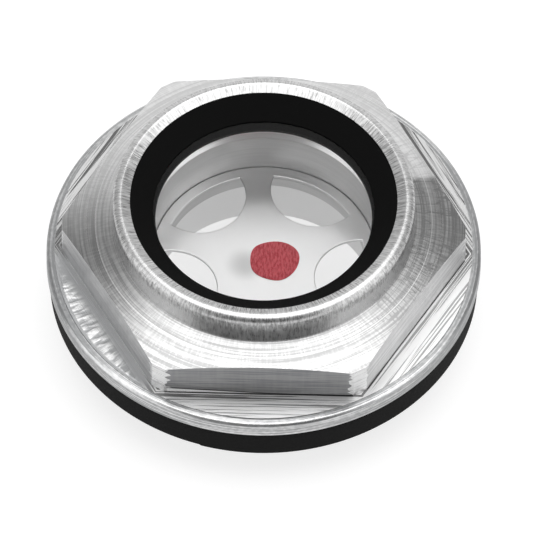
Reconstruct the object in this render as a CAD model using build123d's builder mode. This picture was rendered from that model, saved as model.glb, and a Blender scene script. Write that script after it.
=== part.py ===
from build123d import *
import os
from math import tan, radians, cos, sin

# Screw-in level gauge for an oil tank, in millimetres.
# +Z is the gauge's axis and points out of the tank, towards whoever reads the level.
# Z = 0 is the lower face of the flange gasket, where the tank wall begins.
# Heights in the body are measured from the flange's underside, which sits on the gasket.

# Hexagon and flange, one turned and milled aluminium body
hex_across_flats = 30.0
hex_corner_trim = 0.35
hex_corner_height = 3.1
cone_angle = 16.5
flange_width = 1.28
flange_thickness = 1.7
flange_edge_break = 0.2
flange_step_width = 0.58
flange_step_depth = 0.12

# Rim that is rolled over the clamp ring
rim_wall = 1.05
rim_crest_land = 0.05
lip_reach = 0.45
lip_thickness = 0.45
lip_slope_width = 0.75
lip_edge_thickness = 0.1

# Threaded spigot, G 3/4
thread_diameter = 26.44
spigot_length = 7.0
thread_lead_chamfer = 0.9
thread_relief_depth = 1.22
thread_relief_width = 2.85

# Oil chamber, with a rib that carries the reflector
chamber_diameter = 18.88
chamber_mouth_chamfer = 0.25
lead_in_angle = 15.0
lead_in_height = 1.1
rib_width = 0.94
rib_thickness = 1.1
rib_depth = 0.3

# Reflector, pressed down the chamber onto the rib
reflector_thickness = 0.3
reflector_clearance = 0.02
window_count = 5
window_radius = 3.86
window_pitch_inset = 0.12
window_start_angle = 59.4

# Painted level mark on the reflector
mark_thickness = 0.06
mark_centre = (0.89, -0.3)
mark_radii = (2.1, 2.15, 2.0, 1.95, 2.12, 2.02, 2.1, 2.02, 2.13, 2.04)

# Seal, glass and clamp ring, stacked on the seat above the chamber
seat_height = 5.4
seal_width = 2.5
seal_thickness = 0.3
glass_diameter = 23.2
glass_thickness = 1.4
clamp_ring_width = 2.38
clamp_ring_height = 1.45
clamp_ring_toe = 0.1
stack_clearance = 0.1
clamp_ring_clearance = 0.02

# Flange gasket
gasket_inset = 0.28
gasket_thickness = 2.7
gasket_clearance = 0.15

# Levels that follow from the sizes above
flange_bottom = gasket_thickness
floor_level = flange_bottom + flange_thickness
annulus_level = floor_level - flange_step_depth
corner_level = floor_level + hex_corner_height
spigot_end = flange_bottom - spigot_length
rib_top = flange_bottom - rib_depth
rib_bottom = rib_top - rib_thickness
reflector_top = rib_top + reflector_thickness
seat_level = flange_bottom + seat_height
glass_bottom = seat_level + seal_thickness
glass_top = glass_bottom + glass_thickness
lip_bottom = glass_top + clamp_ring_height
rim_top = lip_bottom + lip_thickness

# Radii that follow from the sizes above
flat_radius = hex_across_flats / 2
corner_radius = flat_radius / cos(radians(30)) - hex_corner_trim
step_radius = corner_radius + flange_step_width
flange_radius = corner_radius + flange_width
gasket_radius = flange_radius - gasket_inset
thread_radius = thread_diameter / 2
relief_radius = thread_radius - thread_relief_depth
chamber_radius = chamber_diameter / 2
rib_bore_radius = chamber_radius - rib_width
seat_bore_radius = chamber_radius + lead_in_height * tan(radians(lead_in_angle))
glass_radius = glass_diameter / 2
stack_bore_radius = glass_radius + stack_clearance
clamp_ring_radius = stack_bore_radius - clamp_ring_clearance
lip_radius = stack_bore_radius - lip_reach
lip_crest_radius = lip_radius + lip_slope_width
rim_radius = stack_bore_radius + rim_wall
rim_crest_rounding = rim_radius - lip_crest_radius - rim_crest_land
cone_rise = (corner_radius - rim_radius) * tan(radians(cone_angle))


# Body: the turned section, walked from the spigot's end up the outside,
# over the rim and down the inside. Each corner is (radius, height, fillet).
body_corners = [
    (chamber_radius + chamber_mouth_chamfer, spigot_end, 0),
    (thread_radius - thread_lead_chamfer, spigot_end, 0),
    (thread_radius, spigot_end + thread_lead_chamfer, 0),
    (thread_radius, flange_bottom - thread_relief_width, 0),
    (relief_radius, flange_bottom - thread_relief_width, 0),
    (relief_radius, flange_bottom, 0),
    (flange_radius - flange_edge_break, flange_bottom, 0),
    (flange_radius, flange_bottom + flange_edge_break, 0),
    (flange_radius, annulus_level - flange_edge_break, 0),
    (flange_radius - flange_edge_break, annulus_level, 0),
    (step_radius, annulus_level, 0),
    (step_radius, floor_level, 0),
    (corner_radius, floor_level, 0),
    (corner_radius, corner_level, 0),
    (rim_radius, corner_level + cone_rise, 0),
    (rim_radius, rim_top, rim_crest_rounding),
    (lip_crest_radius, rim_top, 0),
    (lip_radius, lip_bottom + lip_edge_thickness, 0),
    (lip_radius, lip_bottom, 0),
    (stack_bore_radius, lip_bottom, 0),
    (stack_bore_radius, seat_level, 0),
    (seat_bore_radius, seat_level, 0),
    (chamber_radius, seat_level - lead_in_height, 0),
    (chamber_radius, rib_top, 0),
    (rib_bore_radius, rib_top, 0),
    (rib_bore_radius, rib_bottom, 0),
    (chamber_radius, rib_bottom, 0),
    (chamber_radius, spigot_end + chamber_mouth_chamfer, 0),
]

with BuildPart() as body:
    with BuildSketch(Plane.XZ):
        with BuildLine():
            FilletPolyline(
                [(radius, height) for radius, height, fillet in body_corners],
                radius=[fillet for radius, height, fillet in body_corners],
                close=True,
            )
        make_face()
    revolve(axis=Axis.Z)
    # Six flats are milled down to the flange, and leave rounded corners between them.
    with BuildSketch(Plane.XY.offset(floor_level)):
        Circle(step_radius)
        RegularPolygon(flat_radius, 6, major_radius=False, mode=Mode.SUBTRACT)
    extrude(amount=rim_top - floor_level, mode=Mode.SUBTRACT)
body.part.label = "body"


# Reflector: a flat sheet disc with five windows that let the oil through.
# Each window is a round hole, cut off by the rib's bore.
window_pitch_radius = rib_bore_radius - window_pitch_inset
with BuildSketch(Plane.XY.offset(rib_top)) as windows:
    with PolarLocations(window_pitch_radius, window_count, start_angle=window_start_angle):
        Circle(window_radius)
    Circle(rib_bore_radius, mode=Mode.INTERSECT)
with BuildPart() as reflector:
    with BuildSketch(Plane.XY.offset(rib_top)):
        Circle(chamber_radius - reflector_clearance)
    extrude(amount=reflector_thickness)
    extrude(windows.sketch, amount=reflector_thickness, mode=Mode.SUBTRACT)
reflector.part.label = "reflector"


# Level mark: a hand-painted dot of thick paint, not quite round.
mark_step = 360 / len(mark_radii)
mark_outline = [
    (
        mark_centre[0] + radius * cos(radians(turn * mark_step)),
        mark_centre[1] + radius * sin(radians(turn * mark_step)),
    )
    for turn, radius in enumerate(mark_radii)
]
with BuildPart() as level_mark:
    with BuildSketch(Plane.XY.offset(reflector_top)):
        with BuildLine():
            Spline(mark_outline, periodic=True)
        make_face()
    extrude(amount=mark_thickness)
level_mark.part.label = "level_mark"


# Seat seal: a flat rubber ring between the body's seat and the glass.
with BuildPart() as seat_seal:
    with BuildSketch(Plane.XY.offset(seat_level)):
        Circle(glass_radius)
        Circle(glass_radius - seal_width, mode=Mode.SUBTRACT)
    extrude(amount=seal_thickness)
seat_seal.part.label = "seat_seal"


# Glass: a flat round pane.
with BuildPart() as glass_pane:
    with BuildSketch(Plane.XY.offset(glass_bottom)):
        Circle(glass_radius)
    extrude(amount=glass_thickness)
glass_pane.part.label = "glass_pane"


# Clamp ring: black rubber, a cone that slopes down to the glass, held by the rolled lip.
clamp_ring_bore_radius = clamp_ring_radius - clamp_ring_width
with BuildPart() as clamp_ring:
    with BuildSketch(Plane.XZ):
        with BuildLine():
            Polyline(
                (clamp_ring_bore_radius, glass_top),
                (clamp_ring_bore_radius, glass_top + clamp_ring_toe),
                (lip_radius, lip_bottom),
                (clamp_ring_radius, lip_bottom),
                (clamp_ring_radius, glass_top),
                close=True,
            )
        make_face()
    revolve(axis=Axis.Z)
clamp_ring.part.label = "clamp_ring"


# Flange gasket: a thick flat rubber ring around the spigot.
with BuildPart() as flange_gasket:
    with BuildSketch():
        Circle(gasket_radius)
        Circle(thread_radius + gasket_clearance, mode=Mode.SUBTRACT)
    extrude(amount=gasket_thickness)
flange_gasket.part.label = "flange_gasket"


os.makedirs("parts", exist_ok=True)
export_step(body.part, "parts/body.step")
export_step(reflector.part, "parts/reflector.step")
export_step(level_mark.part, "parts/level_mark.step")
export_step(seat_seal.part, "parts/seat_seal.step")
export_step(glass_pane.part, "parts/glass_pane.step")
export_step(clamp_ring.part, "parts/clamp_ring.step")
export_step(flange_gasket.part, "parts/flange_gasket.step")
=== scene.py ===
import bmesh
import bpy
from collections import namedtuple
from math import asin, atan2, cos, hypot, pi, radians, sin, tan, tau
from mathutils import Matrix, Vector, noise


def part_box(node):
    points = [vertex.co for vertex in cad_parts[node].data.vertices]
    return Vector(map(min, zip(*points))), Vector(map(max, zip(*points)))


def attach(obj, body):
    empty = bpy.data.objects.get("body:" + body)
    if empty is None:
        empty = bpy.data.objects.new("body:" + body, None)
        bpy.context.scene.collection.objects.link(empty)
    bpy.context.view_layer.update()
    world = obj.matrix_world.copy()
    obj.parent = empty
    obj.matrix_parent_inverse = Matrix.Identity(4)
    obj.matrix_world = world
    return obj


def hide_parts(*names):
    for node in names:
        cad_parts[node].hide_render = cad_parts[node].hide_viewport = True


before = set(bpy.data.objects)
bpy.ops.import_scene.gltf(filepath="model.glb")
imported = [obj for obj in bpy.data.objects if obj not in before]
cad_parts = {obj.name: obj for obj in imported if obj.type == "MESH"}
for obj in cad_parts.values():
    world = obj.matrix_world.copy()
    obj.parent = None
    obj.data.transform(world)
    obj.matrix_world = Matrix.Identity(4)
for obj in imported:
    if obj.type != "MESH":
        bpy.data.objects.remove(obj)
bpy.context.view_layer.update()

MM = 0.001

# Levels and radii that the frame gives, in metres.
spigot_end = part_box("body")[0].z
rim_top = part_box("body")[1].z
flange_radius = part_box("body")[1].x
rib_top, reflector_top = (corner.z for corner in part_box("reflector"))
reflector_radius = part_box("reflector")[1].x
seat_level, seal_top = (corner.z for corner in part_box("seat_seal"))
glass_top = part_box("glass_pane")[1].z
glass_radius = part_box("glass_pane")[1].x
lip_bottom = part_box("clamp_ring")[1].z
clamp_ring_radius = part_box("clamp_ring")[1].x
gasket_bottom, flange_bottom = (corner.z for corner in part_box("flange_gasket"))
gasket_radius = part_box("flange_gasket")[1].x

# The sizes that the outlines need between those levels and radii.
flat_radius = 15.0 * MM
corner_height = 3.1 * MM
cone_angle = radians(16.5)
flange_width = 1.28 * MM
flange_thickness = 1.7 * MM
flange_step_width = 0.58 * MM
flange_step_depth = 0.12 * MM
edge_break = 0.2 * MM
rim_wall = 1.05 * MM
stack_clearance = 0.1 * MM
lip_reach = 0.45 * MM
lip_slope_width = 0.75 * MM
lip_edge_thickness = 0.1 * MM
thread_radius = 13.22 * MM
thread_relief_depth = 1.22 * MM
thread_relief_width = 2.85 * MM
thread_lead_chamfer = 0.9 * MM
thread_pitch = 1.814 * MM
thread_depth = 1.162 * MM
reflector_clearance = 0.02 * MM
mouth_chamfer = 0.25 * MM
lead_in_angle = radians(15)
lead_in_height = 1.1 * MM
neck_depth = 1.05 * MM
neck_chamfer = 0.3 * MM
rib_width = 0.94 * MM
rib_thickness = 1.1 * MM
seal_width = 2.5 * MM
clamp_ring_width = 2.38 * MM
clamp_ring_toe = 0.1 * MM
gasket_clearance = 0.15 * MM

# Levels and radii that follow from those sizes.
floor_level = flange_bottom + flange_thickness
annulus_level = floor_level - flange_step_depth
corner_level = floor_level + corner_height
relief_start = flange_bottom - thread_relief_width
rib_bottom = rib_top - rib_thickness
corner_radius = flange_radius - flange_width
step_radius = corner_radius + flange_step_width
relief_radius = thread_radius - thread_relief_depth
chamber_radius = reflector_radius + reflector_clearance
neck_radius = chamber_radius + lead_in_height * tan(lead_in_angle)
rib_bore_radius = chamber_radius - rib_width
stack_bore_radius = glass_radius + stack_clearance
lip_radius = stack_bore_radius - lip_reach
lip_crest_radius = lip_radius + lip_slope_width
rim_radius = stack_bore_radius + rim_wall
rim_foot = corner_level + (corner_radius - rim_radius) * tan(cone_angle)
seal_bore_radius = glass_radius - seal_width
clamp_ring_bore_radius = clamp_ring_radius - clamp_ring_width
gasket_bore_radius = thread_radius + gasket_clearance

# Which way each flat faces, the segments of a full turn, and how close counts as being there.
flat_headings = [radians(30 + 60 * turn) for turn in range(6)]
turn_segments = 360
near = 0.01 * MM


# ---------------------------------------------------------------- nodes, colours and tool marks


# The setting of a Map Range node that eases into both of its ends.
SMOOTH = {"interpolation_type": "SMOOTHSTEP"}


def linear(hex_colour):
    """An sRGB hex colour as the linear RGBA that a socket takes."""
    channels = [int(hex_colour[i : i + 2], 16) / 255 for i in (1, 3, 5)]
    return [c / 12.92 if c <= 0.04045 else ((c + 0.055) / 1.055) ** 2.4 for c in channels] + [1]


def fill(tree, socket, value):
    """Links an input to a socket or to a node's first open output, or sets it to a plain value."""
    if isinstance(value, bpy.types.Node):
        value = next(output for output in value.outputs if output.enabled)
    if isinstance(value, bpy.types.NodeSocket):
        tree.links.new(value, socket)
    else:
        socket.default_value = value


def add(tree, kind, *values, **named):
    """Adds a shader node. The values fill its open inputs in order. Of the named ones, those with
    a capital are inputs, and the others are the node's own settings."""
    made = tree.nodes.new("ShaderNode" + kind)
    for name, value in named.items():
        if name[0].islower():
            setattr(made, name, value)
    for socket, value in zip([socket for socket in made.inputs if socket.enabled], values):
        fill(tree, socket, value)
    for name, value in named.items():
        if name[0].isupper():
            fill(tree, made.inputs[name], value)
    return made


def new_material(name):
    material = bpy.data.materials.new(name)
    material.use_nodes = True
    tree = material.node_tree
    return material, tree, tree.nodes["Principled BSDF"]


def bare_metal(tree, shader, colour, roughness, normal, anisotropic=0.0):
    """Gives a metal its colour, roughness and bump. Fine grooves that run round the axis draw
    its highlight out across them."""
    fill(tree, shader.inputs["Base Color"], colour)
    fill(tree, shader.inputs["Roughness"], roughness)
    fill(tree, shader.inputs["Normal"], normal)
    shader.inputs["Metallic"].default_value = 1.0
    if anisotropic:
        shader.inputs["Anisotropic"].default_value = anisotropic
        shader.inputs["Anisotropic Rotation"].default_value = 0.25
        fill(tree, shader.inputs["Tangent"], add(tree, "Tangent", direction_type="RADIAL", axis="Z"))


def lathe_coordinates(tree):
    """The distance from the axis, the height, and the heading round the axis, of each point."""
    east, north, height = add(tree, "SeparateXYZ", add(tree, "TexCoord").outputs["Object"]).outputs
    level = add(tree, "CombineXYZ", east, north)
    radius = add(tree, "VectorMath", level, operation="LENGTH")
    heading = add(tree, "VectorMath", level, operation="NORMALIZE")
    return radius, height, heading


def ring_marks(tree, spacing, drift=1.5, detail=2.0):
    """Marks that run round the axis, `spacing` apart, and change slowly on their way round. They
    are noise of one lump to a mark, from about 0.2 to 0.8."""
    radius, height, heading = lathe_coordinates(tree)
    slowly = add(tree, "VectorMath", heading, drift, operation="SCALE")
    east, north, _ = add(tree, "SeparateXYZ", slowly).outputs
    outward = add(tree, "Math", radius, 1 / spacing, operation="MULTIPLY")
    upward = add(tree, "Math", height, 1 / spacing, operation="MULTIPLY")
    place = add(tree, "CombineXYZ", outward, east, north)
    return add(
        tree,
        "TexNoise",
        noise_dimensions="4D",
        Vector=place,
        W=upward,
        Scale=1.0,
        Detail=detail,
        Roughness=0.6,
    )


def spoke_marks(tree, spacing, length, at_radius, detail=1.0):
    """Marks that run outwards from the axis, `spacing` apart at a radius, and `length` long. They
    are noise like that of ring_marks."""
    radius, height, heading = lathe_coordinates(tree)
    turned = add(tree, "VectorMath", heading, at_radius / spacing, operation="SCALE")
    east, north, _ = add(tree, "SeparateXYZ", turned).outputs
    outward = add(tree, "Math", radius, height, operation="SUBTRACT")
    along = add(tree, "Math", outward, 1 / length, operation="MULTIPLY")
    place = add(tree, "CombineXYZ", east, north, along)
    return add(tree, "TexNoise", Vector=place, Scale=1.0, Detail=detail)


# ---------------------------------------------------------------- the body's finishes


def turned_aluminium():
    """Aluminium turned on a lathe: concentric feed marks, with faint chatter across them that
    shows as short spokes. Painted shade makes it darker to both sides, and a painted highlight
    makes the rear of the cone paler. The feed marks are 0.15 mm apart, which is coarser than the
    real ones, so that they show."""
    material, tree, shader = new_material("turned_aluminium")
    radius, _, heading = lathe_coordinates(tree)
    east, north, _ = add(tree, "SeparateXYZ", heading).outputs
    grooves = ring_marks(tree, 0.15 * MM, detail=3.0)
    bands = ring_marks(tree, 0.6 * MM, drift=0.8)
    chatter = spoke_marks(tree, spacing=0.2 * MM, length=1.2 * MM, at_radius=15 * MM, detail=2.0)

    fine = add(tree, "MapRange", grooves, 0.36, 0.6, **SMOOTH)
    broad = add(tree, "MapRange", bands, 0.3, 0.6, 0.75, 1.0, **SMOOTH)
    notches = add(tree, "MapRange", chatter, 0.4, 0.65, 0.3, 0.0, **SMOOTH)
    streaks = add(tree, "Math", fine, broad, operation="MULTIPLY")
    streaks = add(tree, "Math", streaks, notches, operation="SUBTRACT")

    # A net of hair-fine spokes lies on the east side.
    spokes = spoke_marks(tree, spacing=0.7 * MM, length=4 * MM, at_radius=15 * MM)
    beside = add(tree, "Math", add(tree, "Math", spokes, 0.5, operation="SUBTRACT"), operation="ABSOLUTE")
    hairs = add(tree, "MapRange", beside, 0.0, 0.035, 1.0, 0.0, **SMOOTH)
    eastern = add(tree, "MapRange", east, 0.55, 0.85, **SMOOTH)
    net = add(tree, "Math", hairs, eastern, operation="MULTIPLY")
    streaks = add(tree, "Math", streaks, net, operation="SUBTRACT")

    # Painted shade: the sides get a darker copy of the colours.
    front = add(tree, "Mix", streaks, linear("#ACACAC"), linear("#E2E2E2"), data_type="RGBA")
    side = add(tree, "Mix", streaks, linear("#8C8C8C"), linear("#B4B4B4"), data_type="RGBA")
    aside = add(tree, "MapRange", add(tree, "Math", east, operation="ABSOLUTE"), 0.5, 0.9, **SMOOTH)
    colour = add(tree, "Mix", aside, front, side, data_type="RGBA")

    # The painted highlight at the rear starts sharply on the east side, and fades in on the west side.
    painted_rear_highlight = add(tree, "Mix", streaks, linear("#D8D8D8"), linear("#F4F4F4"), data_type="RGBA")
    western = add(tree, "Math", east, 0.0, operation="LESS_THAN")
    fade = add(tree, "Math", western, 0.6, operation="MULTIPLY")
    faded_north = add(tree, "Math", north, fade, operation="ADD")
    fade_end = add(tree, "Math", fade, 0.37, operation="ADD")
    painted_rear_mask = add(tree, "MapRange", faded_north, 0.33, fade_end, **SMOOTH)
    colour = add(tree, "Mix", painted_rear_mask, colour, painted_rear_highlight, data_type="RGBA")

    # One bright ring runs round the cone, where the tool was set in again.
    ring_radius = 14.15 * MM
    from_ring = add(tree, "Math", radius, ring_radius, operation="SUBTRACT")
    from_ring = add(tree, "Math", from_ring, operation="ABSOLUTE")
    ring = add(tree, "MapRange", from_ring, 0.02 * MM, 0.06 * MM, 0.4, 0.0, **SMOOTH)
    colour = add(tree, "Mix", ring, colour, linear("#FAFAFA"), data_type="RGBA")

    roughness = add(tree, "MapRange", bands, 0.3, 0.7, 0.27, 0.34, **SMOOTH)
    rings = add(tree, "Bump", Height=grooves, Distance=0.006 * MM)
    normal = add(tree, "Bump", Height=chatter, Distance=0.012 * MM, Normal=rings)
    bare_metal(tree, shader, colour, roughness, normal, anisotropic=0.6)
    return material


def faced_aluminium():
    """The flange, the spigot and the hexagon's corners, turned with a finer tool: a bright satin
    with thin rings and a light mottle. It is brightest on the corners, and painted shade makes it
    darker to both sides.
    The rings are 0.13 mm apart, which is coarser than the real ones, so that they show."""
    material, tree, shader = new_material("faced_aluminium")
    _, height, heading = lathe_coordinates(tree)
    east = add(tree, "SeparateXYZ", heading).outputs[0]
    grooves = ring_marks(tree, 0.13 * MM, detail=3.0)
    bands = ring_marks(tree, 0.5 * MM, drift=1.2)
    mottle = spoke_marks(tree, spacing=0.5 * MM, length=0.35 * MM, at_radius=18 * MM, detail=3.0)

    fine = add(tree, "MapRange", grooves, 0.35, 0.6, **SMOOTH)
    broad = add(tree, "MapRange", bands, 0.3, 0.6, 0.6, 1.0, **SMOOTH)
    specks = add(tree, "MapRange", mottle, 0.4, 0.62, 0.25, 0.0, **SMOOTH)
    streaks = add(tree, "Math", fine, broad, operation="MULTIPLY")
    streaks = add(tree, "Math", streaks, specks, operation="SUBTRACT")
    above_floor = add(tree, "Math", height, floor_level, operation="SUBTRACT")
    corners = add(tree, "MapRange", above_floor, 0.02 * MM, 0.1 * MM, 0.0, 0.7, **SMOOTH)
    streaks = add(tree, "Math", streaks, corners, operation="ADD")
    # Painted shade: darker to both sides.
    aside = add(tree, "Math", east, operation="ABSOLUTE")
    aside = add(tree, "MapRange", aside, 0.6, 0.95, 0.0, 0.5, **SMOOTH)
    streaks = add(tree, "Math", streaks, aside, operation="SUBTRACT")

    colour = add(tree, "Mix", streaks, linear("#A8A9AA"), linear("#F6F6F6"), data_type="RGBA")
    roughness = add(tree, "MapRange", bands, 0.3, 0.7, 0.26, 0.34, **SMOOTH)
    rings = add(tree, "Bump", Height=grooves, Distance=0.005 * MM)
    normal = add(tree, "Bump", Height=mottle, Distance=0.012 * MM, Normal=rings)
    bare_metal(tree, shader, colour, roughness, normal, anisotropic=0.65)
    return material


def milled_aluminium():
    """Flats cut with the side of an end mill: a soft satin grey with fine level scratches and
    faint upright waves. The scratches are 0.15 mm apart, which is coarser than the real ones, so
    that they show. Painted shade makes the front flat darker. The mill's second pass left a
    hair-fine step on it, which slants down to the foot and has a pale ledge below it."""
    material, tree, shader = new_material("milled_aluminium")
    place = add(tree, "TexCoord").outputs["Object"]
    east, north, height = add(tree, "SeparateXYZ", place).outputs
    per_scratch = (1 / (7 * MM), 1 / (7 * MM), 1 / (0.15 * MM))
    per_wave = (1 / (0.35 * MM), 1 / (0.35 * MM), 1 / (4 * MM))
    stretched = add(tree, "VectorMath", place, per_scratch, operation="MULTIPLY")
    scratches = add(tree, "TexNoise", Vector=stretched, Scale=1.0, Detail=3.0, Roughness=0.65)
    squeezed = add(tree, "VectorMath", place, per_wave, operation="MULTIPLY")
    waves = add(tree, "TexNoise", Vector=squeezed, Scale=1.0, Detail=2.0)
    waves = add(tree, "Math", waves, 0.15, operation="MULTIPLY")
    shade = add(tree, "Math", scratches, waves, operation="ADD")
    shade = add(tree, "MapRange", shade, 0.4, 0.75, **SMOOTH)
    satin = add(tree, "Mix", shade, linear("#BCBCBD"), linear("#DCDCDC"), data_type="RGBA")
    # Painted shade: the front flat gets a darker copy of the satin.
    painted_front_shade = add(tree, "Mix", shade, linear("#8C8D90"), linear("#AEAEAE"), data_type="RGBA")
    front = add(tree, "Math", north, 0.1 * MM - flat_radius, operation="LESS_THAN")
    colour = add(tree, "Mix", front, satin, painted_front_shade, data_type="RGBA")

    # The step falls from west to east, and reaches the foot a little east of the middle.
    step_end, step_slope = 2.5 * MM, 0.055
    above_floor = add(tree, "Math", height, floor_level, operation="SUBTRACT")
    to_step_end = add(tree, "Math", step_end, east, operation="SUBTRACT")
    step_height = add(tree, "Math", to_step_end, step_slope, operation="MULTIPLY")
    above_step = add(tree, "Math", above_floor, step_height, operation="SUBTRACT")
    below_step = add(tree, "MapRange", above_step, 0.0, -0.03 * MM, **SMOOTH)
    ledge = add(tree, "Math", front, below_step, operation="MULTIPLY")
    colour = add(tree, "Mix", ledge, colour, linear("#FFFFFF"), data_type="RGBA")

    # A dark line of painted shade runs along the step, and one along the foot of each flat, in
    # the crease. On the flat that faces the front left the foot's line is a white painted highlight.
    foot = add(tree, "MapRange", above_floor, 0.03 * MM, 0.1 * MM, 1.0, 0.0, **SMOOTH)
    from_step = add(tree, "Math", above_step, operation="ABSOLUTE")
    step = add(tree, "MapRange", from_step, 0.03 * MM, 0.09 * MM, 1.0, 0.0, **SMOOTH)
    step = add(tree, "Math", step, front, operation="MULTIPLY")
    line = add(tree, "Math", add(tree, "Math", step, foot, operation="MAXIMUM"), 0.9, operation="MULTIPLY")
    western = add(tree, "Math", east, -5 * MM, operation="LESS_THAN")
    southern = add(tree, "Math", north, 0.0, operation="LESS_THAN")
    front_left = add(tree, "Math", western, southern, operation="MULTIPLY")
    front_left = add(tree, "Math", front_left, front, operation="SUBTRACT")
    painted_line_colour = add(tree, "Mix", front_left, linear("#303030"), linear("#FFFFFF"), data_type="RGBA")
    colour = add(tree, "Mix", line, colour, painted_line_colour, data_type="RGBA")

    roughness = add(tree, "MapRange", scratches, 0.3, 0.7, 0.3, 0.4, **SMOOTH)
    matter = add(tree, "Math", ledge, 0.35, operation="MULTIPLY")
    roughness = add(tree, "Math", roughness, matter, operation="ADD")
    normal = add(tree, "Bump", Height=scratches, Distance=0.006 * MM)
    bare_metal(tree, shader, colour, roughness, normal, anisotropic=0.3)
    return material


def milled_floor_aluminium():
    """The floor that the mill's end left: stripes 0.2 mm apart beside each flat. Painted shade makes
    it greyer behind and close to the flats' feet, and painted light makes it lighter on the east
    side. A dark line of painted shade lies where floor and flat meet. On the front left the mill
    sang, and left a coarse ripple along the floor's outer edge instead, with painted highlights on
    its crests."""
    material, tree, shader = new_material("milled_floor_aluminium")
    radius, _, heading = lathe_coordinates(tree)
    place = add(tree, "TexCoord").outputs["Object"]
    east, north, _ = add(tree, "SeparateXYZ", heading).outputs

    # How far out a point lies, square to the flat that it lies beside.
    reach = 0.0
    for turn in flat_headings:
        outward = (cos(turn), sin(turn), 0)
        distance = add(tree, "VectorMath", place, outward, operation="DOT_PRODUCT")
        reach = add(tree, "Math", distance, reach, operation="MAXIMUM")
    across = add(tree, "Math", reach, 1 / (0.2 * MM), operation="MULTIPLY")
    beside = add(tree, "CombineXYZ", across, east, north)
    stripes = add(tree, "TexNoise", Vector=beside, Scale=1.0, Detail=3.0, Roughness=0.6)
    outer = add(tree, "MapRange", reach, flat_radius, flat_radius + 1.3 * MM)
    lift = add(tree, "Math", outer, 0.05, operation="MULTIPLY")
    stripes = add(tree, "Math", stripes, lift, operation="ADD")
    stripes = add(tree, "MapRange", stripes, 0.49, 0.54, **SMOOTH)
    # Painted shade near the flats' feet and painted light on the east side: lighter away from the feet and
    # towards the east.
    eastern = add(tree, "MapRange", east, 0.4, 0.8, **SMOOTH)
    bright = add(tree, "Math", outer, eastern, operation="MAXIMUM")
    bright = add(tree, "Math", bright, 0.35, operation="MULTIPLY")
    striped = add(tree, "Math", stripes, 0.65, operation="MULTIPLY")
    shade = add(tree, "Math", bright, striped, operation="ADD")
    shade = add(tree, "Math", shade, 1.0, operation="MINIMUM")
    # Painted shade: greyer behind.
    behind = add(tree, "MapRange", north, -0.3, 0.1, 0.0, 0.4, **SMOOTH)
    shade = add(tree, "Math", shade, behind, operation="SUBTRACT")
    colour = add(tree, "Mix", shade, linear("#6C6C6C"), linear("#FFFFFF"), data_type="RGBA")

    # The ripple lies on the front left only. It is bumped, and its bright crests are painted highlights.
    front_left = (cos(radians(210)), sin(radians(210)), 0)
    towards = add(tree, "VectorMath", heading, front_left, operation="DOT_PRODUCT")
    sung = add(tree, "MapRange", towards, 0.86, 0.92, **SMOOTH)
    ripple = spoke_marks(tree, spacing=0.42 * MM, length=1.6 * MM, at_radius=16.5 * MM, detail=2.0)
    margin = add(tree, "MapRange", reach, flat_radius + 0.5 * MM, flat_radius + 1.5 * MM, **SMOOTH)
    inside = add(tree, "MapRange", radius, 17.4 * MM, 17.25 * MM, **SMOOTH)
    margin = add(tree, "Math", margin, inside, operation="MULTIPLY")
    crests = add(tree, "MapRange", ripple, 0.4, 0.6, **SMOOTH)
    painted_crest_highlights = add(tree, "Math", margin, crests, operation="MULTIPLY")
    sung_colour = add(tree, "Mix", painted_crest_highlights, linear("#B4B5B6"), linear("#FFFFFF"), data_type="RGBA")
    colour = add(tree, "Mix", sung, colour, sung_colour, data_type="RGBA")

    # The dark line of painted shade along the foot of each flat ends before the corners, and skips the
    # front left.
    line_start, line_end = flat_radius + 0.03 * MM, flat_radius + 0.12 * MM
    foot = add(tree, "MapRange", reach, line_start, line_end, 0.9, 0.0, **SMOOTH)
    within = add(tree, "MapRange", radius, 17.0 * MM, 16.9 * MM, **SMOOTH)
    foot = add(tree, "Math", foot, within, operation="MULTIPLY")
    elsewhere = add(tree, "Math", 1.0, sung, operation="SUBTRACT")
    foot = add(tree, "Math", foot, elsewhere, operation="MULTIPLY")
    colour = add(tree, "Mix", foot, colour, linear("#303030"), data_type="RGBA")

    roughness = add(tree, "MapRange", stripes, 0.0, 1.0, 0.36, 0.42, **SMOOTH)
    lines = add(tree, "Bump", Height=stripes, Distance=0.006 * MM)
    rippled = add(tree, "Math", margin, sung, operation="MULTIPLY")
    rippled = add(tree, "Math", ripple, rippled, operation="MULTIPLY")
    normal = add(tree, "Bump", Height=rippled, Distance=0.08 * MM, Normal=lines)
    bare_metal(tree, shader, colour, roughness, normal)
    return material


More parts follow.
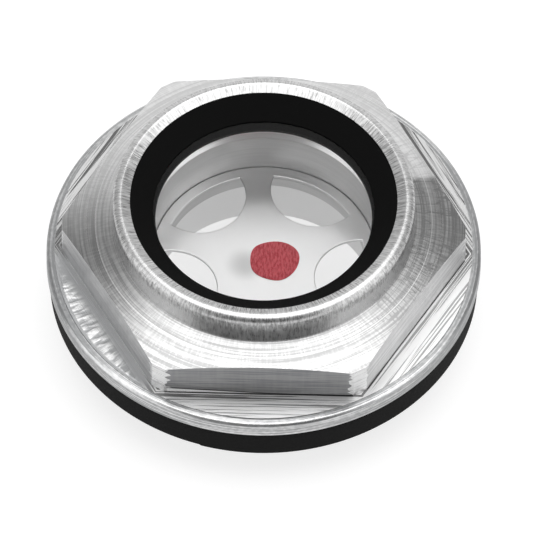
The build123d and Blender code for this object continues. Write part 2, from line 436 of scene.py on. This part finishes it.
def rolled_aluminium():
    """The rim, folded over by a roller: fine teeth all over it, which are strongest and specked
    with dirt on its shoulder and its slope, and a burnished crest. Faint upright drag marks run
    down its wall. Painted shade makes the wall darkest in front, and lighter round the rest."""
    material, tree, shader = new_material("rolled_aluminium")
    radius, height, heading = lathe_coordinates(tree)
    north = add(tree, "SeparateXYZ", heading).outputs[1]
    teeth = spoke_marks(tree, spacing=0.13 * MM, length=0.7 * MM, at_radius=12.4 * MM, detail=2.0)
    specks = spoke_marks(tree, spacing=0.2 * MM, length=0.3 * MM, at_radius=12.5 * MM, detail=3.0)
    drag = spoke_marks(tree, spacing=0.3 * MM, length=4 * MM, at_radius=12.7 * MM)

    above_wall = add(tree, "MapRange", height, rim_top - 1.5 * MM, rim_top - 0.8 * MM, **SMOOTH)
    below_crest = add(tree, "MapRange", height, rim_top - 0.04 * MM, rim_top - 0.2 * MM, **SMOOTH)
    shoulder = add(tree, "Math", above_wall, below_crest, operation="MULTIPLY")
    slope = add(tree, "MapRange", radius, lip_crest_radius, lip_crest_radius - 0.2 * MM, **SMOOTH)
    worn = add(tree, "Math", shoulder, slope, operation="MAXIMUM")
    # Painted shade on the wall: darker in front, lighter round the rest.
    wall = add(tree, "MapRange", height, rim_top - 0.9 * MM, rim_top - 1.7 * MM, **SMOOTH)
    in_front = add(tree, "MapRange", north, -0.8, -0.95, -1.0, 1.0, **SMOOTH)
    wall = add(tree, "Math", wall, in_front, operation="MULTIPLY")

    worn_teeth = add(tree, "MapRange", teeth, 0.38, 0.64, 0.2, 0.0, **SMOOTH)
    all_teeth = add(tree, "MapRange", teeth, 0.42, 0.58, 0.2, 0.0, **SMOOTH)
    worn_specks = add(tree, "MapRange", specks, 0.52, 0.66, 0.0, 0.3, **SMOOTH)
    drag_marks = add(tree, "MapRange", drag, 0.35, 0.65, 0.0, 0.12, **SMOOTH)
    dirt_and_wall_shade = add(tree, "Math", worn, worn_teeth, operation="MULTIPLY")
    worn_specks = add(tree, "Math", worn, worn_specks, operation="MULTIPLY")
    wall_shade = add(tree, "Math", wall, 0.3, operation="MULTIPLY")
    for more in (all_teeth, worn_specks, drag_marks, wall_shade):
        dirt_and_wall_shade = add(tree, "Math", dirt_and_wall_shade, more, operation="ADD")
    colour = add(tree, "Mix", dirt_and_wall_shade, linear("#E2E2E2"), linear("#747474"), data_type="RGBA")

    roughness = add(tree, "MapRange", teeth, 0.3, 0.7, 0.26, 0.36, **SMOOTH)
    toothed = add(tree, "Bump", Height=teeth, Distance=0.008 * MM)
    normal = add(tree, "Bump", Height=specks, Distance=0.005 * MM, Normal=toothed)
    bare_metal(tree, shader, colour, roughness, normal)
    return material


def bored_aluminium():
    """The bored inside: smoother than the outside, with faint feed rings 0.22 mm apart. Painted
    highlights make it bright at its neck and below the rib."""
    material, tree, shader = new_material("bored_aluminium")
    _, height, _ = lathe_coordinates(tree)
    feed = ring_marks(tree, 0.22 * MM)
    # Painted highlights at the neck and below the rib.
    neck = add(tree, "MapRange", height, seat_level - 1.4 * MM, seat_level - 1.3 * MM, **SMOOTH)
    below_rib = add(tree, "MapRange", height, rib_bottom, rib_bottom - 0.2 * MM, **SMOOTH)
    bright = add(tree, "Math", neck, below_rib, operation="MAXIMUM")
    colour = add(tree, "Mix", feed, linear("#BEBEBE"), linear("#DADADA"), data_type="RGBA")
    colour = add(tree, "Mix", bright, colour, linear("#FAFAFA"), data_type="RGBA")
    roughness = add(tree, "MapRange", feed, 0.3, 0.7, 0.28, 0.34, **SMOOTH)
    bare_metal(tree, shader, colour, roughness, add(tree, "Bump", Height=feed, Distance=0.004 * MM))
    return material


# ---------------------------------------------------------------- the other pieces' materials


def reflector_aluminium():
    """Bright rolled sheet: near white, with painted shade that makes it a little darker towards its
    rear, and a soft grey patch on its face beside the painted mark. Its grain is drawn 0.35 mm
    coarse, so that it shows."""
    material, tree, shader = new_material("reflector_aluminium")
    place = add(tree, "TexCoord").outputs["Object"]
    _, north, height = add(tree, "SeparateXYZ", place).outputs
    fine = add(tree, "VectorMath", place, 1 / (0.35 * MM), operation="SCALE")
    grain = add(tree, "TexNoise", Vector=fine, Scale=1.0)
    # Painted shade towards the rear.
    painted_rear_mask = add(tree, "MapRange", north, 1 * MM, 8 * MM, **SMOOTH)
    colour = add(tree, "Mix", painted_rear_mask, linear("#FFFFFF"), linear("#D4D4D4"), data_type="RGBA")
    # A soft grey patch on the face, beside the mark.
    grey_patch_middle = (-1.5 * MM, -0.8 * MM, reflector_top)
    away = add(tree, "VectorMath", place, grey_patch_middle, operation="DISTANCE")
    grey_patch = add(tree, "MapRange", away, 0.2 * MM, 2.1 * MM, 0.6, 0.0, **SMOOTH)
    face = add(tree, "Math", height, reflector_top - 0.1 * MM, operation="GREATER_THAN")
    grey_patch = add(tree, "Math", grey_patch, face, operation="MULTIPLY")
    colour = add(tree, "Mix", grey_patch, colour, linear("#B4B4B4"), data_type="RGBA")
    roughness = add(tree, "MapRange", grain, 0.3, 0.7, 0.34, 0.4, **SMOOTH)
    bare_metal(tree, shader, colour, roughness, add(tree, "Bump", Height=grain, Distance=0.002 * MM))
    return material


def mark_paint():
    """Red enamel dabbed on by brush: slanting streaks of lighter and darker red, a bristle wide,
    with a soft low gloss."""
    material, tree, shader = new_material("mark_paint")
    place = add(tree, "TexCoord").outputs["Object"]
    per_stroke = (1 / (0.14 * MM), 1 / (0.45 * MM), 1 / MM)
    brushed = add(tree, "Mapping", Vector=place, Rotation=(0, 0, radians(65)), Scale=per_stroke)
    strokes = add(tree, "TexNoise", Vector=brushed, Scale=1.0, Detail=4.0, Roughness=0.7)
    thin = add(tree, "MapRange", strokes, 0.32, 0.66, **SMOOTH)
    colour = add(tree, "Mix", thin, linear("#CC1F30"), linear("#F0606C"), data_type="RGBA")
    fill(tree, shader.inputs["Base Color"], colour)
    fill(tree, shader.inputs["Normal"], add(tree, "Bump", Height=strokes, Distance=0.03 * MM))
    shader.inputs["Roughness"].default_value = 0.6
    shader.inputs["Specular IOR Level"].default_value = 0.2
    return material


def moulded_rubber(name, colour, powder_colour, specular, grain, painted_shade_above=None):
    """Nitrile rubber: matt and nearly black, with a powdery grain, drawn coarser than the real one
    so that it shows. Above a level that the last argument gives, the powder is left out and the
    rubber is blacker: painted shade, as under the flange."""
    material, tree, shader = new_material(name)
    place = add(tree, "TexCoord").outputs["Object"]
    fine = add(tree, "VectorMath", place, 1 / grain, operation="SCALE")
    pores = add(tree, "TexNoise", Vector=fine, Scale=1.0, Detail=3.0)
    powder = add(tree, "MapRange", pores, 0.35, 0.7, **SMOOTH)
    # Painted shade: above the given level the rubber is blacker.
    if painted_shade_above is not None:
        height = add(tree, "SeparateXYZ", place).outputs[2]
        below = add(tree, "MapRange", height, painted_shade_above, painted_shade_above - 0.25 * MM, **SMOOTH)
        powder = add(tree, "Math", powder, below, operation="MULTIPLY")
    shade = add(tree, "Mix", powder, linear(colour), linear(powder_colour), data_type="RGBA")
    fill(tree, shader.inputs["Base Color"], shade)
    fill(tree, shader.inputs["Roughness"], add(tree, "MapRange", pores, 0.3, 0.7, 0.66, 0.82, **SMOOTH))
    fill(tree, shader.inputs["Normal"], add(tree, "Bump", Height=pores, Distance=0.01 * MM))
    shader.inputs["Specular IOR Level"].default_value = specular
    return material


def pane_glass():
    """Float glass, clear and polished."""
    material, _, shader = new_material("pane_glass")
    shader.inputs["Base Color"].default_value = linear("#FFFFFF")
    shader.inputs["Roughness"].default_value = 0.0
    shader.inputs["IOR"].default_value = 1.5
    shader.inputs["Transmission Weight"].default_value = 1.0
    return material


def paper_white_floor():
    """A sweep of white paper: it takes the gauge's shadow, and glows for the eye as a lit backdrop
    would. Metal mirrors about half of that glow. From underneath the paper is clear, so that it
    never hides the gauge."""
    material, tree, shader = new_material("paper_white_floor")
    shader.inputs["Base Color"].default_value = linear("#AEAEAE")
    shader.inputs["Roughness"].default_value = 0.9
    shader.inputs["Specular IOR Level"].default_value = 0.0
    shader.inputs["Emission Color"].default_value = (1, 1, 1, 1)
    rays = add(tree, "LightPath").outputs
    seen = add(tree, "Math", rays["Is Camera Ray"], rays["Is Transmission Ray"], operation="MAXIMUM")
    mirrored = add(tree, "Math", rays["Is Glossy Ray"], 0.55, operation="MULTIPLY")
    seen = add(tree, "Math", seen, mirrored, operation="MAXIMUM")
    fill(tree, shader.inputs["Emission Strength"], add(tree, "Math", seen, 0.74, operation="MULTIPLY"))
    underneath = add(tree, "NewGeometry").outputs["Backfacing"]
    both = add(tree, "MixShader", underneath, shader, add(tree, "BsdfTransparent"))
    fill(tree, tree.nodes["Material Output"].inputs["Surface"], both)
    return material


# ---------------------------------------------------------------- shapes


def finish_piece(bm, name, materials, replaced):
    """Smooths what is round, and gives the piece its body and the node that it replaces.
    The node gets the piece's first material."""
    for face in bm.faces:
        face.smooth = True
    for edge in bm.edges:
        threaded = name == "turned_body" and edge.verts[0].co.z < relief_start + near
        smooth_below = radians(40 if threaded else 12)
        edge.smooth = len(edge.link_faces) == 2 and edge.calc_face_angle(0) < smooth_below
    mesh = bpy.data.meshes.new(name)
    bm.to_mesh(mesh)
    bm.free()
    for material in materials:
        mesh.materials.append(material)
    piece = bpy.data.objects.new(name, mesh)
    bpy.context.scene.collection.objects.link(piece)
    piece.modifiers.new("weighted_normals", "WEIGHTED_NORMAL").keep_sharp = True
    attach(piece, "root")
    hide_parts(replaced)
    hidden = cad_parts[replaced].data
    hidden.materials.clear()
    hidden.materials.append(materials[0])


def make_from_node(name, node, material, edge_radius):
    """A piece of the node's own form, with its sharp edges rounded."""
    bm = bmesh.new()
    bm.from_mesh(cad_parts[node].data)
    bmesh.ops.remove_doubles(bm, verts=bm.verts, dist=1e-6)
    bmesh.ops.dissolve_limit(bm, angle_limit=radians(0.5), verts=bm.verts, edges=bm.edges)
    for face in bm.faces:
        face.material_index = 0
    sharp = [edge for edge in bm.edges if edge.calc_face_angle(0) > radians(50)]
    bmesh.ops.bevel(
        bm,
        geom=sharp,
        offset=edge_radius,
        offset_type="OFFSET",
        segments=2,
        profile=0.5,
        affect="EDGES",
        material=-1,
    )
    finish_piece(bm, name, [material], node)


# A corner of a turned section, the radius that rounds it and that rounding's segments, and the
# number of cuts on the edge from it to the next corner.
Corner = namedtuple("Corner", "radius height rounding segments cuts", defaults=(0, 0, 0))


def round_ring(bm, before, corner, after):
    """Rounds the ring that a corner of the section was spun to."""

    def on_ring(vert):
        aside = abs(hypot(vert.co.x, vert.co.y) - corner.radius)
        return aside < 1e-7 and abs(vert.co.z - corner.height) < 1e-7

    to_before = Vector((before.radius - corner.radius, before.height - corner.height))
    to_after = Vector((after.radius - corner.radius, after.height - corner.height))
    turn = pi - to_before.angle(to_after)
    bmesh.ops.bevel(
        bm,
        geom=[edge for edge in bm.edges if all(on_ring(vert) for vert in edge.verts)],
        offset=corner.rounding * tan(turn / 2),
        offset_type="OFFSET",
        segments=corner.segments,
        profile=0.5,
        affect="EDGES",
        material=-1,
    )


def spin_section(section, closed=True):
    """Draws a section as a wire, cuts its edges where it asks for rows, spins it round the axis and
    rounds its corners."""
    bm = bmesh.new()
    starts = [bm.verts.new((corner.radius, 0, corner.height)) for corner in section]
    ends = starts[1:] + starts[:1] if closed else starts[1:]
    edges = [bm.edges.new(pair) for pair in zip(starts, ends)]
    for corner, edge, start, end in zip(section, edges, starts, ends):
        for left in range(corner.cuts, 0, -1):
            start = bmesh.utils.edge_split(edge, start, 1 / (left + 1))[1]
            edge = next(link for link in start.link_edges if end in link.verts)
    bmesh.ops.spin(
        bm,
        geom=list(bm.verts) + list(bm.edges),
        cent=(0, 0, 0),
        axis=(0, 0, 1),
        angle=tau,
        steps=turn_segments,
        use_merge=True,
    )
    bmesh.ops.remove_doubles(bm, verts=bm.verts, dist=1e-8)
    bmesh.ops.recalc_face_normals(bm, faces=bm.faces)
    for before, corner, after in zip(section[-1:] + section[:-1], section, section[1:] + section[:1]):
        if corner.rounding:
            round_ring(bm, before, corner, after)
    return bm


def make_round(name, node, material, section, closed=True):
    """A round piece, spun from its section."""
    bm = spin_section(section, closed)
    bmesh.ops.recalc_face_normals(bm, faces=bm.faces)
    finish_piece(bm, name, [material], node)


# The body's section, from the foot of the hexagon's corners up over the rim, down the bore, and up
# the spigot and the flange to the step beside the hexagon. The milled floor closes it. Below the
# seat the bore has a neck, as wide as the top of a 15 degree lead-in.
body_section = [
    Corner(corner_radius, floor_level, cuts=14),
    Corner(corner_radius, corner_level, 0.05 * MM, 2),
    Corner(rim_radius, rim_foot, 0.15 * MM, 3),
    Corner(rim_radius, rim_top, 0.7 * MM, 12),
    Corner(lip_crest_radius, rim_top, 0.2 * MM, 4, cuts=3),
    Corner(lip_radius, lip_bottom + lip_edge_thickness),
    Corner(lip_radius, lip_bottom),
    Corner(stack_bore_radius, lip_bottom),
    Corner(stack_bore_radius, seat_level),
    Corner(neck_radius, seat_level, 0.05 * MM, 2),
    Corner(neck_radius, seat_level - neck_depth),
    Corner(chamber_radius, seat_level - neck_depth - neck_chamfer, 0.05 * MM, 2),
    Corner(chamber_radius, rib_top),
    Corner(rib_bore_radius, rib_top, 0.05 * MM, 2),
    Corner(rib_bore_radius, rib_bottom, 0.05 * MM, 2),
    Corner(chamber_radius, rib_bottom),
    Corner(chamber_radius, spigot_end + mouth_chamfer),
    Corner(chamber_radius + mouth_chamfer, spigot_end),
    Corner(thread_radius - thread_lead_chamfer, spigot_end, cuts=14),
    Corner(thread_radius, spigot_end + thread_lead_chamfer, cuts=50),
    Corner(thread_radius, relief_start),
    Corner(relief_radius, relief_start),
    Corner(relief_radius, flange_bottom),
    Corner(flange_radius - edge_break, flange_bottom),
    Corner(flange_radius, flange_bottom + edge_break),
    Corner(flange_radius, annulus_level - edge_break, 0.2 * MM, 4),
    Corner(flange_radius - edge_break, annulus_level, 0.2 * MM, 4),
    Corner(step_radius, annulus_level),
    Corner(step_radius, floor_level),
]


def mill_hexagon(bm):
    """Cuts the six flats down to the floor, closes them, and lays the floor round them."""
    for turn in flat_headings:
        outward = Vector((cos(turn), sin(turn), 0))
        above = [face for face in bm.faces if face.calc_center_median().z > floor_level]
        edges = {edge for face in above for edge in face.edges}
        verts = {vert for face in above for vert in face.verts}
        bmesh.ops.bisect_plane(
            bm,
            geom=above + list(edges) + list(verts),
            dist=1e-8,
            plane_co=outward * flat_radius,
            plane_no=outward,
            clear_outer=True,
        )
        outline = [
            edge
            for edge in bm.edges
            if len(edge.link_faces) == 1
            and all(abs(vert.co.dot(outward) - flat_radius) < 1e-7 for vert in edge.verts)
        ]
        ends = {vert for edge in outline for vert in edge.verts}
        foot = [vert for vert in ends if abs(vert.co.z - floor_level) < 1e-8]
        bmesh.ops.contextual_create(bm, geom=outline + [bm.edges.new(foot)])
    floor_edges = [
        edge
        for edge in bm.edges
        if len(edge.link_faces) == 1 and all(abs(vert.co.z - floor_level) < 1e-8 for vert in edge.verts)
    ]
    bmesh.ops.triangle_fill(bm, use_beauty=True, use_dissolve=False, edges=floor_edges, normal=(0, 0, 1))


def tear_flat_ends(bm):
    """Jogs the upright edges at the ends of the flats, where the mill tore the corners."""
    tear_depth, tear_spacing = 0.9 * MM, 0.13 * MM
    for vert in bm.verts:
        on_corner = hypot(vert.co.x, vert.co.y) > corner_radius - 1e-6
        if not on_corner or not floor_level + 1e-6 < vert.co.z < corner_level - 1e-6:
            continue
        for turn in flat_headings:
            if abs(vert.co.dot(Vector((cos(turn), sin(turn), 0))) - flat_radius) < 1e-7:
                along = Vector((-sin(turn), cos(turn), 0))
                side = 1 if vert.co.dot(along) > 0 else -1
                vert.co -= along * side * tear_depth * abs(noise.noise(vert.co / tear_spacing))


def cut_thread(bm):
    """Moves the spigot's skin in to a right-hand G 3/4 thread, which runs out at both its ends."""
    pitch_radius = thread_radius - thread_depth / 2
    sharpness = 0.93  # 1 would give sharp crests and roots, and less rounds them
    for vert in bm.verts:
        radius = hypot(vert.co.x, vert.co.y)
        if radius < relief_radius + near or not spigot_end - 1e-7 < vert.co.z < relief_start + 1e-7:
            continue
        phase = vert.co.z / thread_pitch * tau - atan2(vert.co.y, vert.co.x)
        flank = asin(sharpness * sin(phase)) / asin(sharpness)
        cut_radius = min(radius, pitch_radius + flank * thread_depth / 2)
        vert.co.x *= cut_radius / radius
        vert.co.y *= cut_radius / radius


TURNED, FACED, MILLED, FLOOR, ROLLED, BORED = range(6)


def body_finish(face):
    """Which of the body's finishes a face has, from where it lies."""
    middle = face.calc_center_median()
    radius = hypot(middle.x, middle.y)
    if radius < stack_bore_radius + near and middle.z < lip_bottom:
        return BORED
    if radius < rim_radius + near and middle.z > rim_foot:
        return ROLLED
    # A flat is one face with far more than 20 corners. The slivers of a torn corner, which lie
    # close to the same plane, have few.
    reach = max(middle.x * cos(turn) + middle.y * sin(turn) for turn in flat_headings)
    if abs(reach - flat_radius) < near and len(face.verts) > 20:
        return MILLED
    if abs(middle.z - floor_level) < near and radius < step_radius:
        return FLOOR
    return TURNED if middle.z > corner_level - near else FACED


def make_body():
    bm = spin_section(body_section, closed=False)
    mill_hexagon(bm)
    tear_flat_ends(bm)
    cut_thread(bm)
    bmesh.ops.recalc_face_normals(bm, faces=bm.faces)
    for face in bm.faces:
        face.material_index = body_finish(face)
    finishes = [
        turned_aluminium(),
        faced_aluminium(),
        milled_aluminium(),
        milled_floor_aluminium(),
        rolled_aluminium(),
        bored_aluminium(),
    ]
    finish_piece(bm, "turned_body", finishes, "body")


# ---------------------------------------------------------------- camera, lamp, room and floor


def add_camera():
    """A lens so long and so far off that the view is parallel. It looks down at 53.9 degrees."""
    lift, turn, distance = radians(53.9), radians(1.57), 0.4
    target = Vector((0.24943, -0.52336, 2.7)) * MM
    towards_camera = Vector((sin(turn) * cos(lift), -cos(turn) * cos(lift), sin(lift)))
    data = bpy.data.cameras.new("camera")
    data.type = "ORTHO"
    data.ortho_scale = 44.79 * MM
    data.clip_start = 0.01
    data.clip_end = 10
    camera = bpy.data.objects.new("camera", data)
    camera.location = target + towards_camera * distance
    camera.rotation_mode = "QUATERNION"
    camera.rotation_quaternion = (-towards_camera).to_track_quat("-Z", "Y")
    bpy.context.scene.collection.objects.link(camera)
    bpy.context.scene.camera = camera


def add_overhead_softbox():
    """A wide oval softbox that hangs level over the gauge, and looks as bright as its radiance."""
    width, depth, radiance = 0.83, 0.71, 1.6
    area = pi * width * depth / 4
    data = bpy.data.lights.new("overhead_softbox", "AREA")
    data.shape = "ELLIPSE"
    data.size = width
    data.size_y = depth
    data.energy = radiance * pi * area
    lamp = bpy.data.objects.new("overhead_softbox", data)
    lamp.location = (0.07, 0.035, 0.6)
    bpy.context.scene.collection.objects.link(lamp)


def light_room():
    """A pale room: a lit backdrop behind the gauge, white panels to its front left and front
    right, and a dim gap between them."""
    world = bpy.data.worlds.new("studio")
    bpy.context.scene.world = world
    world.use_nodes = True
    tree = world.node_tree
    east, north, _ = add(tree, "SeparateXYZ", add(tree, "TexCoord").outputs["Generated"]).outputs
    walls = add(tree, "MapRange", north, -0.95, -0.2, 0.16, 0.42, **SMOOTH)
    backdrop = add(tree, "MapRange", north, 0.55, 0.95, 0.0, 0.5, **SMOOTH)
    aside = add(tree, "Math", east, operation="ABSOLUTE")
    aside = add(tree, "MapRange", aside, 0.45, 0.75, 0.0, 0.9, **SMOOTH)
    in_front = add(tree, "MapRange", north, 0.2, -0.05, **SMOOTH)
    panels = add(tree, "Math", aside, in_front, operation="MULTIPLY")
    room = add(tree, "Math", walls, panels, operation="ADD")
    background = tree.nodes["Background"]
    background.inputs["Color"].default_value = (1, 1, 1, 1)
    fill(tree, background.inputs["Strength"], add(tree, "Math", backdrop, room, operation="ADD"))


def make_floor():
    """The paper that the gauge stands on, which reaches a metre to each side."""
    bm = bmesh.new()
    bmesh.ops.create_grid(bm, x_segments=1, y_segments=1, size=1.0)
    bmesh.ops.translate(bm, verts=bm.verts, vec=(0, 0, spigot_end))
    mesh = bpy.data.meshes.new("studio_floor")
    bm.to_mesh(mesh)
    bm.free()
    mesh.materials.append(paper_white_floor())
    floor = bpy.data.objects.new("studio_floor", mesh)
    bpy.context.scene.collection.objects.link(floor)


# ---------------------------------------------------------------- the gauge and its studio


add_camera()
add_overhead_softbox()
light_room()
make_floor()

make_body()
make_from_node("reflector_sheet", "reflector", reflector_aluminium(), 0.06 * MM)
make_from_node("painted_mark", "level_mark", mark_paint(), 0.04 * MM)
make_round(
    "seat_gasket",
    "seat_seal",
    moulded_rubber("seal_rubber", "#141414", "#1C1C1C", specular=0.3, grain=0.08 * MM),
    [
        Corner(seal_bore_radius, seat_level, 0.04 * MM, 2),
        Corner(glass_radius, seat_level),
        Corner(glass_radius, seal_top),
        Corner(seal_bore_radius, seal_top, 0.04 * MM, 2),
    ],
)
make_round(
    "glass_disc",
    "glass_pane",
    pane_glass(),
    [
        Corner(0, seal_top),
        Corner(glass_radius, seal_top, 0.15 * MM, 1),
        Corner(glass_radius, glass_top, 0.15 * MM, 1),
        Corner(0, glass_top),
    ],
    closed=False,
)
make_round(
    "clamp_collar",
    "clamp_ring",
    moulded_rubber("clamp_rubber", "#050505", "#0A0A0A", specular=0.1, grain=0.08 * MM),
    [
        Corner(clamp_ring_bore_radius, glass_top),
        Corner(clamp_ring_bore_radius, glass_top + clamp_ring_toe, 0.04 * MM, 2),
        Corner(lip_radius, lip_bottom, 0.02 * MM, 1),
        Corner(clamp_ring_radius, lip_bottom),
        Corner(clamp_ring_radius, glass_top),
    ],
)
make_round(
    "flange_washer",
    "flange_gasket",
    moulded_rubber(
        "gasket_rubber",
        "#050505",
        "#121212",
        specular=0.2,
        grain=0.14 * MM,
        # The washer's top, under the flange, gets painted shade.
        painted_shade_above=flange_bottom - 0.6 * MM,
    ),
    [
        Corner(gasket_radius, gasket_bottom, 0.15 * MM, 3),
        Corner(gasket_radius, flange_bottom, 0.15 * MM, 3),
        Corner(gasket_bore_radius, flange_bottom, 0.1 * MM, 2),
        Corner(gasket_bore_radius, gasket_bottom, 0.1 * MM, 2),
    ],
)

scene = bpy.context.scene
scene.view_settings.view_transform = "Standard"
